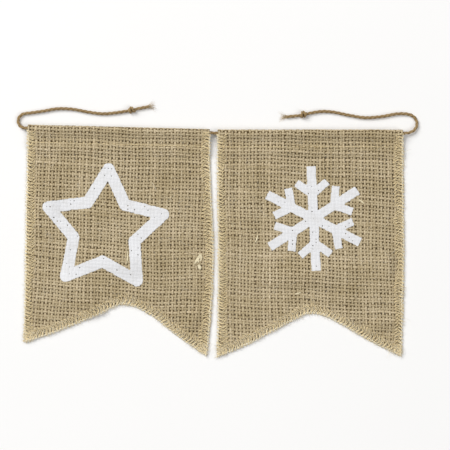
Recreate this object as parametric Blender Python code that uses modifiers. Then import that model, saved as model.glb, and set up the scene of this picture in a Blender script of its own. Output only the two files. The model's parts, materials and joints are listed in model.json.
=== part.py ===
"""Fabric bunting: two swallow-tailed hessian flags side by side on one jute twine, lying face up.

Metres, +Z up. +X runs along the twine, +Y from the flags' points to their turned hems, and the
back of the cloth lies on z = 0. The origin is the middle of the two flags' outline.
Each flag is one sheet of cloth: its top edge is turned to the back round the twine, its sides and
its notch carry a raised oversewn edging, and a few soft folds lift it off the surface.
"""
import bpy
import math
import numpy as np

MM = 0.001

# Cloth
CLOTH = 1.2 * MM                # thickness of the hessian
EDGING_RAISE = 0.3 * MM         # the oversewn edging stands this much above the cloth
EDGING_WIDTH = 6.0 * MM         # its flat top
EDGING_SLOPE = 1.4 * MM         # from its flat top down to the cloth

# Twine
TWINE = 2.4 * MM                # diameter
KNOT = 5.6 * MM                 # diameter over the end knots
CLEARANCE = 0.3 * MM            # between touching pieces and layers

# Hem, measured down the flag from the twine's axis
LOOP_RADIUS = TWINE / 2 + CLEARANCE
AXIS_HEIGHT = CLOTH + LOOP_RADIUS
LAYER_HEIGHT = CLOTH + CLEARANCE
FLAP_END = 12.5 * MM            # the turned flap's free edge
LAYERS_MEET = 7.0 * MM          # below the loop, where the front lies down on the flap
FLAP_CLEARED = 13.4 * MM        # where the front starts down past the flap
HEM_END = 19.0 * MM             # where the front lies on the surface
FLAP_ROWS = 2
LOOP_STEPS = 9
FALL_STEPS = 5

# Spacing of the cloth's grid
COLUMN = 5.6 * MM
ROW = 6.0 * MM
APEX_COLUMNS = (-7.0 * MM, -3.0 * MM, 3.0 * MM, 7.0 * MM)

# Flags, in millimetres. fold_* are the ends of the turned top edge, tip_* the two points, bow_*
# how far each side swells outwards, and notch the points of the cut between the tips, whose
# highest is the apex.
FLAGS = {
    "flag_left": dict(
        fold_left=(-133.2, 83.7), fold_right=(-2.3, 80.3),
        tip_left=(-136.1, -72.9), tip_right=(-5.0, -82.9), bow_left=0.0, bow_right=3.9,
        notch=((-114.8, -65.8), (-97.6, -58.9), (-80.3, -51.7), (-72.4, -47.7), (-66.2, -45.7),
               (-57.2, -47.1), (-47.2, -51.9), (-27.0, -67.3)),
    ),
    "flag_right": dict(
        fold_left=(2.7, 80.1), fold_right=(136.3, 80.1),
        tip_left=(2.5, -83.7), tip_right=(135.0, -82.9), bow_left=-1.0, bow_right=1.2,
        notch=((31.3, -71.0), (44.3, -64.0), (56.5, -57.5), (64.4, -53.5), (71.6, -52.0),
               (83.9, -55.6), (91.1, -59.2), (99.7, -64.4), (113.4, -72.0)),
    ),
}

# Soft folds: centre, direction of the ridge, half its length and width, and its height.
FOLD_COLUMNS = ("flag", "x", "y", "turn", "long", "wide", "high")
FOLDS = (
    ("flag_left", -96.0, -38.0, -46.0, 31.0, 13.0, 3.2),
    ("flag_left", -68.0, -14.0, -6.0, 36.0, 15.0, 1.7),
    ("flag_left", -15.0, -56.0, 62.0, 17.0, 8.0, 2.0),
    ("flag_left", -118.0, 33.0, 82.0, 34.0, 12.0, 1.4),
    ("flag_right", 70.0, -25.0, 2.0, 58.0, 12.0, 2.2),
    ("flag_right", 121.0, -60.0, 18.0, 16.0, 8.0, 1.9),
    ("flag_right", 125.0, -16.0, 84.0, 18.0, 8.0, 2.2),
    ("flag_right", 24.0, 20.0, 78.0, 36.0, 13.0, 1.4),
)

# The twine's route, in millimetres: x, y and the height of its axis. It starts at the left
# tail's free end, runs back over the flags' top edge, through both hems, and ends alike.
LYING = TWINE / MM / 2 + 0.05
THREADED = AXIS_HEIGHT / MM
TWINE_ROUTE = (
    (-47.0, 96.4, LYING), (-53.5, 95.2, LYING), (-62.0, 93.4, LYING), (-71.0, 92.0, LYING),
    (-80.0, 91.4, LYING), (-90.0, 92.6, LYING), (-101.0, 94.6, LYING), (-112.0, 95.0, LYING),
    (-123.0, 93.2, LYING), (-131.5, 92.0, LYING), (-137.3, 91.0, LYING), (-140.3, 87.6, LYING),
    (-139.6, 83.3, LYING + 0.5), (-136.6, 81.3, THREADED - 0.2), (-133.3, 80.95, THREADED),
    (-110.0, 80.35, THREADED), (-68.0, 79.25, THREADED), (-26.0, 78.15, THREADED),
    (-3.4, 77.57, THREADED), (0.2, 77.44, THREADED), (3.6, 77.35, THREADED),
    (26.0, 77.35, THREADED), (70.0, 77.35, THREADED), (114.0, 77.35, THREADED),
    (136.3, 77.35, THREADED), (140.4, 77.7, THREADED - 0.3), (144.4, 79.8, LYING + 0.6),
    (146.3, 84.0, LYING), (144.7, 88.5, LYING), (140.3, 91.0, LYING), (132.0, 91.3, LYING),
    (121.0, 89.4, LYING), (109.0, 88.6, LYING), (97.0, 90.4, LYING), (86.0, 92.6, LYING),
    (77.0, 93.0, LYING), (67.0, 91.3, LYING), (59.7, 89.9, LYING), (52.5, 89.2, LYING),
)
TWINE_STEP = 7.0 * MM
KNOT_FROM_END = 12.0 * MM
KNOT_REACH = 4.6 * MM           # from a knot's middle to where the twine is plain again
KNOT_STATIONS = (-1.0, -0.7, -0.3, 0.3, 0.7, 1.0)
LIFT = 0.05 * MM                # the twine's underside over the surface

HESSIAN_COLOUR = (0.50, 0.38, 0.22, 1.0)
JUTE_COLOUR = (0.46, 0.33, 0.17, 1.0)


def empty_scene():
    """Remove every object that the file was opened with."""
    for item in list(bpy.data.objects):
        bpy.data.objects.remove(item, do_unlink=True)


def fibre_material(name, colour):
    """Dry plant fibre: rough, not metallic."""
    material = bpy.data.materials.new(name)
    material.use_nodes = True
    shader = material.node_tree.nodes["Principled BSDF"]
    shader.inputs["Base Color"].default_value = colour
    shader.inputs["Roughness"].default_value = 0.9
    shader.inputs["Metallic"].default_value = 0.0
    return material


def smooth_step(value):
    """0 to 1 with level ends: 3 v^2 - 2 v^3."""
    held = np.clip(value, 0.0, 1.0)
    return held * held * (3.0 - 2.0 * held)


def curve_through(points, at):
    """Cubic through the points (x, y) of a single-valued curve, read at the given x."""
    x, y = np.array(points, float).T
    slope = np.gradient(y, x)
    cell = np.clip(np.searchsorted(x, at) - 1, 0, len(x) - 2)
    width = x[cell + 1] - x[cell]
    part = (at - x[cell]) / width
    rise = y[cell] * (1 + 2 * part) * (1 - part) ** 2 + y[cell + 1] * (3 - 2 * part) * part ** 2
    bend = slope[cell] * part * (1 - part) ** 2 - slope[cell + 1] * part ** 2 * (1 - part)
    return rise + bend * width


def hem_section():
    """The back of the turned top edge as (distance down the flag, height) from the flap to HEM_END."""
    flap = [(FLAP_END * (1 - step / FLAP_ROWS), CLOTH) for step in range(FLAP_ROWS)]
    turn = np.linspace(-math.pi / 2, -3 * math.pi / 2, LOOP_STEPS)
    loop = [(LOOP_RADIUS * math.cos(a), AXIS_HEIGHT + LOOP_RADIUS * math.sin(a)) for a in turn]
    top = AXIS_HEIGHT + LOOP_RADIUS
    part = np.linspace(0, 1, FALL_STEPS + 1)[1:]
    on_flap = [(LAYERS_MEET * p, top + (LAYER_HEIGHT - top) * smooth_step(p)) for p in part]
    down = [
        (FLAP_CLEARED + (HEM_END - FLAP_CLEARED) * p, LAYER_HEIGHT * (1 - smooth_step(p)))
        for p in np.linspace(0, 1, FALL_STEPS)
    ]
    return np.array(flap + loop + on_flap + down)


def fold_height(flag, x, y):
    """Height of the cloth's back above the surface: flat-footed ridges (1 - r^2)^2, r < 1."""
    height = np.zeros_like(x)
    for row in FOLDS:
        fold = dict(zip(FOLD_COLUMNS, row))
        if fold["flag"] != flag:
            continue
        turn = math.radians(fold["turn"])
        dx, dy = x - fold["x"] * MM, y - fold["y"] * MM
        along = (dx * math.cos(turn) + dy * math.sin(turn)) / (fold["long"] * MM)
        across = (dy * math.cos(turn) - dx * math.sin(turn)) / (fold["wide"] * MM)
        inside = np.clip(1.0 - along ** 2 - across ** 2, 0.0, None)
        height += fold["high"] * MM * inside ** 2
    return height


def flag_columns(plan):
    """Fractions of the width at which the cloth has a column of points."""
    width = (plan["fold_right"][0] - plan["fold_left"][0]) * MM
    apex = max(plan["notch"], key=lambda point: point[1])[0]
    tips = plan["tip_left"][0], plan["tip_right"][0]
    apex_at = (apex - tips[0]) / (tips[1] - tips[0])
    edges = [0.0, EDGING_WIDTH / width, (EDGING_WIDTH + EDGING_SLOPE) / width]
    tops = [apex_at] + [apex_at + step / width for step in APEX_COLUMNS]
    even = np.arange(2 * COLUMN / width, 1 - 2 * COLUMN / width, COLUMN / width)
    even = [u for u in even if min(abs(u - top) for top in tops) > 0.45 * COLUMN / width]
    return np.array(sorted(edges + [1 - e for e in edges] + tops + even))


def flag_surface(name, plan):
    """The back of one flag as a grid of points, rows from the flap to the tips.

    The field is a Coons patch between the hem's line, the two bowed sides and the notch.
    """
    u = flag_columns(plan)
    left, right, tip_left, tip_right = (
        np.array(plan[key]) * MM for key in ("fold_left", "fold_right", "tip_left", "tip_right")
    )
    along = (right - left) / np.linalg.norm(right - left)
    down = np.array((along[1], -along[0]))
    axis_left = left + down * (LOOP_RADIUS + CLOTH)
    axis = axis_left + np.outer(u, right - left)
    section = hem_section()
    hem = np.zeros((len(section), len(u), 3))
    hem[:, :, :2] = axis[None] + section[:, None, :1] * down
    hem[:, :, 2] = section[:, 1:]

    start = hem[-1, :, :2]
    cut = [plan["tip_left"], *plan["notch"], plan["tip_right"]]
    x_end = tip_left[0] + (tip_right[0] - tip_left[0]) * u
    end = np.stack((x_end, curve_through(cut, x_end / MM) * MM), axis=1)
    length = np.linalg.norm(end - start, axis=1)
    inner = length - EDGING_WIDTH - EDGING_SLOPE
    rows = int(round(inner.max() / ROW))
    reach = [inner * step / rows for step in range(1, rows + 1)]
    reach += [inner + EDGING_SLOPE, length]
    t = np.array(reach) / length
    swell = np.sin(np.pi * t ** 1.2)
    side_left = start[0] + (end[0] - start[0]) * t[..., None]
    side_right = start[-1] + (end[-1] - start[-1]) * t[..., None]
    side_left[..., 0] -= plan["bow_left"] * MM * swell
    side_right[..., 0] += plan["bow_right"] * MM * swell
    across, fall = u[None, :, None], t[..., None]
    sides = (1 - across) * side_left + across * side_right
    ends = (1 - fall) * start[None] + fall * end[None]
    corners = (1 - fall) * ((1 - across) * start[0] + across * start[-1])
    corners = corners + fall * ((1 - across) * end[0] + across * end[-1])
    field = np.zeros((len(t), len(u), 3))
    field[..., :2] = sides + ends - corners
    field[..., 2] = fold_height(name, field[..., 0], field[..., 1])
    return np.concatenate((hem, field))


def edging_points(rows, columns):
    """Numbers of the grid points under the flat top of the edging: both sides and the notch.

    It starts at the top of the loop, because the flap lies on its own edging.
    """
    row, column = np.meshgrid(np.arange(rows), np.arange(columns), indexing="ij")
    side = (column <= 1) | (column >= columns - 2)
    face_up = row >= FLAP_ROWS + LOOP_STEPS - 1
    foot = row >= rows - 2
    return np.flatnonzero((side & face_up | foot).ravel()).tolist()


def hessian_flag(name, plan, material, collection):
    """One swallow-tailed flag: the back's grid, thickened towards the front."""
    grid = flag_surface(name, plan)
    rows, columns = grid.shape[:2]
    number = np.arange(rows * columns).reshape(rows, columns)
    corner = number[:-1, :-1], number[1:, :-1], number[1:, 1:], number[:-1, 1:]
    faces = np.stack([c.ravel() for c in corner], axis=1)
    mesh = bpy.data.meshes.new(name)
    mesh.from_pydata(grid.reshape(-1, 3).tolist(), [], faces.tolist())
    mesh.materials.append(material)
    mesh.shade_smooth()
    flag = bpy.data.objects.new(name, mesh)
    collection.objects.link(flag)
    edging = flag.vertex_groups.new(name="edging")
    edging.add(edging_points(rows, columns), 1.0, "REPLACE")
    cloth = flag.modifiers.new("cloth", "SOLIDIFY")
    cloth.thickness = CLOTH + EDGING_RAISE
    cloth.offset = 1.0
    cloth.use_even_offset = True
    cloth.vertex_group = edging.name
    cloth.thickness_vertex_group = CLOTH / (CLOTH + EDGING_RAISE)
    return flag


def eased_route(points):
    """Catmull-Rom curve through the points, in fine steps, and the distance along it."""
    p = np.vstack((2 * points[0] - points[1], points, 2 * points[-1] - points[-2]))
    part = np.linspace(0, 1, 24, endpoint=False)[:, None]
    pieces = []
    for a, b, c, d in zip(p, p[1:], p[2:], p[3:]):
        turn = 2 * a - 5 * b + 4 * c - d
        pieces.append(0.5 * (2 * b + (c - a) * part + turn * part ** 2
                             + (3 * b - a - 3 * c + d) * part ** 3))
    fine = np.vstack(pieces + [points[-1:]])
    steps = np.linalg.norm(np.diff(fine, axis=0), axis=1)
    return fine, np.concatenate(([0], np.cumsum(steps)))


def twine_stations(length, knots):
    """Distances along the twine at which its tube has a point, closer together on the knots."""
    even = np.linspace(0, length, int(round(length / TWINE_STEP)) + 1)
    plain = [s for s in even if min(abs(s - knot) for knot in knots) > 1.3 * KNOT_REACH]
    return np.array(sorted(plain + [k + f * KNOT_REACH for k in knots for f in KNOT_STATIONS]))


def twine_thickness(at, knots):
    """The tube's radius over the plain twine's: fuller round each knot."""
    swell = np.ones(len(at))
    for knot in knots:
        swell += (KNOT / TWINE - 1) * smooth_step(1.5 * (1 - abs(at - knot) / KNOT_REACH))
    return swell


def jute_twine(name, material, collection):
    """The twine that carries the flags, one tube from free end to free end, with two knots."""
    fine, run = eased_route(np.array(TWINE_ROUTE) * MM)
    knots = KNOT_FROM_END, run[-1] - KNOT_FROM_END
    at = twine_stations(run[-1], knots)
    thickness = twine_thickness(at, knots)
    route = np.stack([np.interp(at, run, fine[:, k]) for k in range(3)], axis=1)
    route[:, 2] = np.maximum(route[:, 2], thickness * TWINE / 2 + LIFT)
    data = bpy.data.curves.new(name, "CURVE")
    data.dimensions = "3D"
    data.bevel_depth = TWINE / 2
    data.bevel_resolution = 2
    data.use_fill_caps = True
    data.materials.append(material)
    line = data.splines.new("POLY")
    line.points.add(len(route) - 1)
    line.points.foreach_set("co", np.column_stack((route, np.ones(len(route)))).ravel())
    line.points.foreach_set("radius", thickness)
    line.use_smooth = True
    twine = bpy.data.objects.new(name, data)
    collection.objects.link(twine)
    return twine


def main():
    empty_scene()
    bunting = bpy.data.collections.new("fabric_bunting")
    bpy.context.scene.collection.children.link(bunting)
    hessian = fibre_material("hessian", HESSIAN_COLOUR)
    jute = fibre_material("jute", JUTE_COLOUR)
    for name, plan in FLAGS.items():
        hessian_flag(name, plan, hessian, bunting)
    jute_twine("hanging_twine", jute, bunting)


main()
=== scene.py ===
"""Looks of the fabric bunting: two swallow-tailed hessian flags on one jute twine, lying face up.

Metres, +Z up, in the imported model's own frame. Each flag is woven here yarn by yarn on the folds
of its solid, with an overlocked edge, a stitched hem and a white painted motif. The twine is laid
from three strands, with a knot and a frayed end at each side.
"""
import json
import math

import bpy
import numpy as np
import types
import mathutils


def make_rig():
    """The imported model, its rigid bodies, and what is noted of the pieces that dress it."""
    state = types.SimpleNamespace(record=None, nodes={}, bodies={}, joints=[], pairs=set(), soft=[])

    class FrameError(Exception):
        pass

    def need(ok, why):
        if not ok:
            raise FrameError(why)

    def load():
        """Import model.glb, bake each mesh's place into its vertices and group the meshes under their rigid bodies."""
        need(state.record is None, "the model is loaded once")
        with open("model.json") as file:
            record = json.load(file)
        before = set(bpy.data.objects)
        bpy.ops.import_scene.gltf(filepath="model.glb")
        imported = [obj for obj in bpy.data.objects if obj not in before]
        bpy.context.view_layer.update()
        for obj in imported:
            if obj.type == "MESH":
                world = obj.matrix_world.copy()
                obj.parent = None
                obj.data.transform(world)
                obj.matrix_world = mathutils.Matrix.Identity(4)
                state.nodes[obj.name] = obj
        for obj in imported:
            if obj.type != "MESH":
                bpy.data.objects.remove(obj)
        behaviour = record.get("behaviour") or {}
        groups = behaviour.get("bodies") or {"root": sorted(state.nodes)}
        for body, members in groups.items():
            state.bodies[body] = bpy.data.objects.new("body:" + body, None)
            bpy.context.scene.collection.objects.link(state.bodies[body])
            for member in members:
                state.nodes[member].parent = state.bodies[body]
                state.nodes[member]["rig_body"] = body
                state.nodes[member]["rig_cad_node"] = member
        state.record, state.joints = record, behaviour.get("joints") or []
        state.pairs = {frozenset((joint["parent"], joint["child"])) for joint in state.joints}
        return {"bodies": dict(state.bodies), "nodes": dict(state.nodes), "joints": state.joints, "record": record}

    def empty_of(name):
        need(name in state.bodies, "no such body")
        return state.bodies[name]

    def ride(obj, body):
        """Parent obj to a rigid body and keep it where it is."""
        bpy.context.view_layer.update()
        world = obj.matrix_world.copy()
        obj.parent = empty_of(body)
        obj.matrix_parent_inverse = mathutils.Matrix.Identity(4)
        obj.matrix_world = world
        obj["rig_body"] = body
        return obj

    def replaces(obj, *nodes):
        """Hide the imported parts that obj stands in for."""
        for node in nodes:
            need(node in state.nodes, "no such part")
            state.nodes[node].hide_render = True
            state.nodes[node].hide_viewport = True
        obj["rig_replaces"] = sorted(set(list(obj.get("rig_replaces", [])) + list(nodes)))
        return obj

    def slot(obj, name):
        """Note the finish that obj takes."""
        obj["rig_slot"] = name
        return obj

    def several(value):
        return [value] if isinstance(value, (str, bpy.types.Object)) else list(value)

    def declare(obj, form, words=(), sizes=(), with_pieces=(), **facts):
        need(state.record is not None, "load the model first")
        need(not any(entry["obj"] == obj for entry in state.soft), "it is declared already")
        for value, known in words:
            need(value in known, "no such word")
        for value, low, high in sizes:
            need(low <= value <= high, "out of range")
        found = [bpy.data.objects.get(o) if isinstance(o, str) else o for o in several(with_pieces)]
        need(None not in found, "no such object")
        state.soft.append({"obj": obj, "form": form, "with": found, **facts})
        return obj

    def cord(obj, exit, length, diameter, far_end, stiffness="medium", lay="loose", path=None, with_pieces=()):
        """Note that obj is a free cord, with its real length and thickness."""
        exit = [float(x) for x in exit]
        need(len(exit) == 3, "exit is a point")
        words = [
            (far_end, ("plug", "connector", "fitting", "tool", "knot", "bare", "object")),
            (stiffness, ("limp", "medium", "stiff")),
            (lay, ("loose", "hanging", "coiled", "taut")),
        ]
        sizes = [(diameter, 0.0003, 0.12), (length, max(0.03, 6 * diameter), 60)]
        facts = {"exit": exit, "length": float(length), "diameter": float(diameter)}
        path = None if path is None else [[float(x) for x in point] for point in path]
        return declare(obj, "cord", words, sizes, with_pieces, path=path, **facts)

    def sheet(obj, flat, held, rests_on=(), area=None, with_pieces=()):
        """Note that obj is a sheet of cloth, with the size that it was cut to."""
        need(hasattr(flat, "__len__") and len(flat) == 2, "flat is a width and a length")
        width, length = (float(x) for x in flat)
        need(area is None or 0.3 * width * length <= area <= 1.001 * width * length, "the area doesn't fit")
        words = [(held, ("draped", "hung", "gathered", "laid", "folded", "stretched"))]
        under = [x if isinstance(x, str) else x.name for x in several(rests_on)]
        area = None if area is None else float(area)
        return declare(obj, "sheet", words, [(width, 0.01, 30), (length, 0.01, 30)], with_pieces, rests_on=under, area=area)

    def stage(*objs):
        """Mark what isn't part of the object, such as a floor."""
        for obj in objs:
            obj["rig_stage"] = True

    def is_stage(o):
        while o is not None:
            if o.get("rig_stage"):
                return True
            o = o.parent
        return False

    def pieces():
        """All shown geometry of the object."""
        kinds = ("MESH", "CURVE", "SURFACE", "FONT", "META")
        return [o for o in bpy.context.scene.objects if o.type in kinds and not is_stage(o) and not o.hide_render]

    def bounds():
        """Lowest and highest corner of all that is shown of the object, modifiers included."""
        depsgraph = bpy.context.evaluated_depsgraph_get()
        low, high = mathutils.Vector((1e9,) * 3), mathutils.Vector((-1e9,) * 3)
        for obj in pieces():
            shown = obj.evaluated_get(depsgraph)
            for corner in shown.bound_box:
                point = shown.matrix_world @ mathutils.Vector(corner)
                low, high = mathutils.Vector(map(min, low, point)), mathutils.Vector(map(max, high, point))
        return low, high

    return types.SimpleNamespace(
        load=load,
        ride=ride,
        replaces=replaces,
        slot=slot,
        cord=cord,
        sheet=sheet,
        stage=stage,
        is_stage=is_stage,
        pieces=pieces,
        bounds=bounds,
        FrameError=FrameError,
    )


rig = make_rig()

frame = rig.load()
cad_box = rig.bounds()

MM = 0.001
BODY = "root"
SKY_UP = np.array((0.0, 0.0, 1.0))

# The solids' own sizes, which the cloth and the twine follow.
CLOTH = 1.2 * MM
TWINE = 2.4 * MM
CLEARANCE = 0.3 * MM
LOOP_RADIUS = TWINE / 2 + CLEARANCE
LOOP_MIDDLE = LOOP_RADIUS + CLOTH / 2
AXIS_HEIGHT = CLOTH + LOOP_RADIUS
LAYER_HEIGHT = CLOTH + CLEARANCE
FLAP_END = 12.5 * MM
LAYERS_MEET = 7.0 * MM
FLAP_CLEARED = 13.4 * MM
HEM_END = 19.0 * MM
KNOT = 5.6 * MM
KNOT_FROM_END = 12.0 * MM
LIFT = 0.05 * MM
FLATTENED = 0.01 * MM           # what would lie lower is pressed flat on the table

# Flags, in millimetres: the ends of the turned top edge, the two points, how far each side swells
# outwards, and the points of the notch between the tips.
FLAGS = {
    "flag_left": dict(
        fold_left=(-133.2, 83.7), fold_right=(-2.3, 80.3),
        tip_left=(-136.1, -72.9), tip_right=(-5.0, -82.9), bow_left=0.0, bow_right=3.9,
        notch=((-114.8, -65.8), (-97.6, -58.9), (-80.3, -51.7), (-72.4, -47.7), (-66.2, -45.7),
               (-57.2, -47.1), (-47.2, -51.9), (-27.0, -67.3)),
    ),
    "flag_right": dict(
        fold_left=(2.7, 80.1), fold_right=(136.3, 80.1),
        tip_left=(2.5, -83.7), tip_right=(135.0, -82.9), bow_left=-1.0, bow_right=1.2,
        notch=((31.3, -71.0), (44.3, -64.0), (56.5, -57.5), (64.4, -53.5), (71.6, -52.0),
               (83.9, -55.6), (91.1, -59.2), (99.7, -64.4), (113.4, -72.0)),
    ),
}
# Soft folds, in millimetres and degrees: middle x and y, turn, half length, half width, height.
FOLDS = {
    "flag_left": ((-96.0, -38.0, -46.0, 31.0, 13.0, 3.2), (-68.0, -14.0, -6.0, 36.0, 15.0, 1.7),
                  (-15.0, -56.0, 62.0, 17.0, 8.0, 2.0), (-118.0, 33.0, 82.0, 34.0, 12.0, 1.4)),
    "flag_right": ((70.0, -25.0, 2.0, 58.0, 12.0, 2.2), (121.0, -60.0, 18.0, 16.0, 8.0, 1.9),
                   (125.0, -16.0, 84.0, 18.0, 8.0, 2.2), (24.0, 20.0, 78.0, 36.0, 13.0, 1.4)),
}
SEEDS = {"flag_left": 11, "flag_right": 23}

# The photograph's frame: its middle over the object, and its width there.
VIEW_MIDDLE = (8.28 * MM, 11.4 * MM)
VIEW_WIDTH = 324.0 * MM
LENS, SENSOR = 100.0, 36.0

SKY_STRENGTH = 0.24
FLOOR_HALF = 9.0                # so wide that low views don't reach its rim
# Soft boxes aimed at the origin: name, place, width, power, colour.
SOFT_BOXES = (("key", (-2.40, 2.08, 3.04), 2.6, 180.0, (1.0, 0.99, 0.975)),
              ("fill", (2.88, -1.6, 3.52), 2.88, 78.0, (1.0, 0.995, 0.985)))

WHITE = (1.0, 1.0, 1.0)
SHEEN_TINT = (1.0, 0.86, 0.62, 1.0)
# Plant fibres: colours by the streaks' noise, its pace along the yarn and its twist, the spread of
# tone from yarn to yarn, the strength of the painted shade deep in the cloth, and their mottling.
FIBRES = {
    "jute": (((0.25, (0.20, 0.125, 0.055)), (0.5, (0.40, 0.28, 0.14)), (0.78, (0.60, 0.46, 0.27))),
             420.0, 260.0, 0.08, 0.25, 0.12),
    "jute_ends": (((0.2, (0.40, 0.29, 0.155)), (0.8, (0.68, 0.54, 0.34))),
                  200.0, 50.0, 0.20, 0.0, 0.10),
    "hessian": (((0.22, (0.31, 0.229, 0.120)), (0.48, (0.56, 0.465, 0.305)),
                 (0.80, (0.765, 0.675, 0.494))), 380.0, 190.0, 0.14, 0.78, 0.17),
    "ochre_thread": (((0.32, (0.56, 0.405, 0.175)), (0.5, (0.94, 0.79, 0.49)),
                      (0.68, (1.0, 0.95, 0.775))), 500.0, 300.0, 0.07, 0.35, 0.08),
    # cream_thread: the edge cord's thread, whose paler colour is a painted highlight along the cut edge.
    "cream_thread": (((0.32, (0.72, 0.62, 0.42)), (0.5, (0.96, 0.90, 0.72)),
                      (0.68, (1.0, 0.97, 0.88))), 500.0, 300.0, 0.07, 0.35, 0.08),
    "loose_fibre": (((0.2, (0.70, 0.61, 0.44)), (0.8, (0.94, 0.88, 0.72))),
                    200.0, 50.0, 0.20, 0.55, 0.10),
    "straw": (((0.2, (0.74, 0.64, 0.42)), (0.8, (0.94, 0.87, 0.65))),
              120.0, 10.0, 0.04, 0.10, 0.05),
}


# ---------------------------------------------------------------- numbers and curves

def smooth_step(value):
    """0 to 1 with level ends: 3 v^2 - 2 v^3."""
    held = np.clip(value, 0.0, 1.0)
    return held * held * (3.0 - 2.0 * held)


def curve_through(points, at):
    """Cubic through the points (x, y) of a single-valued curve, read at the given x."""
    x, y = np.array(points, float).T
    slope = np.gradient(y, x)
    cell = np.clip(np.searchsorted(x, at) - 1, 0, len(x) - 2)
    width = x[cell + 1] - x[cell]
    part = (at - x[cell]) / width
    rise = y[cell] * (1 + 2 * part) * (1 - part) ** 2 + y[cell + 1] * (3 - 2 * part) * part ** 2
    bend = slope[cell] * part * (1 - part) ** 2 - slope[cell + 1] * part ** 2 * (1 - part)
    return rise + bend * width


def eased(points, steps):
    """Catmull-Rom curve through the points, with that many steps from each to the next."""
    p = np.vstack((2 * points[0] - points[1], points, 2 * points[-1] - points[-2]))
    a, b, c, d = (p[k:len(p) - 3 + k, None] for k in range(4))
    part = np.linspace(0, 1, steps, endpoint=False)[:, None]
    fine = 0.5 * (2 * b + (c - a) * part + (2 * a - 5 * b + 4 * c - d) * part ** 2
                  + (3 * b - a - 3 * c + d) * part ** 3)
    return np.vstack((fine.reshape(-1, points.shape[1]), points[-1:]))


def distance_along(path):
    """Distance of each point of a path from its start, along the path."""
    return np.concatenate(([0.0], np.cumsum(np.linalg.norm(np.diff(path, axis=0), axis=1))))


def read_at(values, stations, at):
    """The rows of values, known at the stations, read at other places by straight lines."""
    return np.stack([np.interp(at, stations, column) for column in values.T], axis=1)


def unit(vectors):
    """Vectors made one long."""
    return vectors / np.maximum(np.linalg.norm(vectors, axis=-1, keepdims=True), 1e-12)


def soft_noise(draw, rows, columns, reach):
    """Random rows of unit spread: white noise weighted along each row with a bell of that reach."""
    wild = draw.standard_normal((rows, columns + 6 * reach))
    bell = np.exp(-0.5 * (np.arange(-3 * reach, 3 * reach + 1) / reach) ** 2)
    bell /= np.sqrt((bell ** 2).sum())
    return np.stack([np.convolve(row, bell, "valid") for row in wild])


def turned(xy, middle, tilt):
    """Plan points in millimetres from a middle, turned back by its tilt in degrees."""
    off = (xy - np.array(middle) * MM) / MM
    cos, sin = math.cos(math.radians(tilt)), math.sin(math.radians(tilt))
    return off[..., 0] * cos + off[..., 1] * sin, off[..., 1] * cos - off[..., 0] * sin


# ---------------------------------------------------------------- camera, floor and light

def placed(name, data):
    """A new object in the scene."""
    made = bpy.data.objects.new(name, data)
    bpy.context.scene.collection.objects.link(made)
    return made


def camera_over_the_flags():
    """A long lens straight above, framed as the photograph is."""
    data = bpy.data.cameras.new("camera")
    data.lens, data.sensor_width = LENS, SENSOR
    camera = placed("camera", data)
    camera.location = (*VIEW_MIDDLE, VIEW_WIDTH * LENS / SENSOR)
    bpy.context.scene.camera = camera


def soft_box(name, place, width, power, colour):
    """A square lamp at a place, turned towards the origin."""
    data = bpy.data.lights.new(name, "AREA")
    data.shape, data.size, data.energy, data.color = "SQUARE", width, power, colour
    light = placed(name, data)
    light.location = place
    x, y, z = place
    light.rotation_euler = (math.atan2(math.hypot(x, y), z), 0.0, math.atan2(x, -y))


def studio():
    """A pale floor, an even sky and two soft boxes."""
    world = bpy.data.worlds.new("studio")
    world.use_nodes = True
    sky = world.node_tree.nodes["Background"]
    sky.inputs["Color"].default_value = (*WHITE, 1.0)
    sky.inputs["Strength"].default_value = SKY_STRENGTH
    bpy.context.scene.world = world
    bpy.context.scene.view_settings.view_transform = "Standard"
    for box in SOFT_BOXES:
        soft_box(*box)
    mesh = bpy.data.meshes.new("floor")
    half = FLOOR_HALF
    mesh.from_pydata([(-half, -half, 0), (half, -half, 0), (half, half, 0), (-half, half, 0)],
                     [], [(0, 1, 2, 3)])
    mesh.materials.append(floor_finish())
    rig.stage(placed("floor", mesh))


# ---------------------------------------------------------------- finishes

def add_node(tree, kind, inputs=None, **settings):
    """A new node with its settings; an input takes a value, or a link if it is given a socket."""
    made = tree.nodes.new(kind)
    for name, value in settings.items():
        setattr(made, name, value)
    for name, value in (inputs or {}).items():
        socket = made.inputs[name]
        if isinstance(value, bpy.types.NodeSocket):
            tree.links.new(value, socket)
        else:
            socket.default_value = value
    return made


def multiplied(tree, first, second):
    """Two colours multiplied."""
    return add_node(tree, "ShaderNodeMix", {0: 1.0, 6: first, 7: second},
                    data_type="RGBA", blend_type="MULTIPLY").outputs[2]


def worked(tree, operation, *values):
    """The result of a maths node on up to three values or sockets."""
    return add_node(tree, "ShaderNodeMath", dict(enumerate(values)), operation=operation).outputs[0]


def own_place(tree):
    """Coordinates in the model's frame."""
    return add_node(tree, "ShaderNodeTexCoord").outputs["Object"]


def noise(tree, place, scale, detail=2.0, roughness=0.5):
    """A noise pattern's value on the given coordinates."""
    return add_node(tree, "ShaderNodeTexNoise", {
        "Vector": place, "Scale": scale, "Detail": detail, "Roughness": roughness}).outputs["Fac"]


def ramp(tree, value, stops):
    """A colour for each value, from straight lines between the stops (place, colour)."""
    made = add_node(tree, "ShaderNodeValToRGB", {"Fac": value})
    band = made.color_ramp
    while len(band.elements) < len(stops):
        band.elements.new(0.5)
    for element, (place, colour) in zip(band.elements, stops):
        element.position = place
        element.color = (*colour, 1.0)
    return made.outputs["Color"]


def darker(amount, green, blue):
    """White less an amount, of which green and blue lose so many times as much."""
    return 1 - amount, 1 - amount * green, 1 - amount * blue


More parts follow.
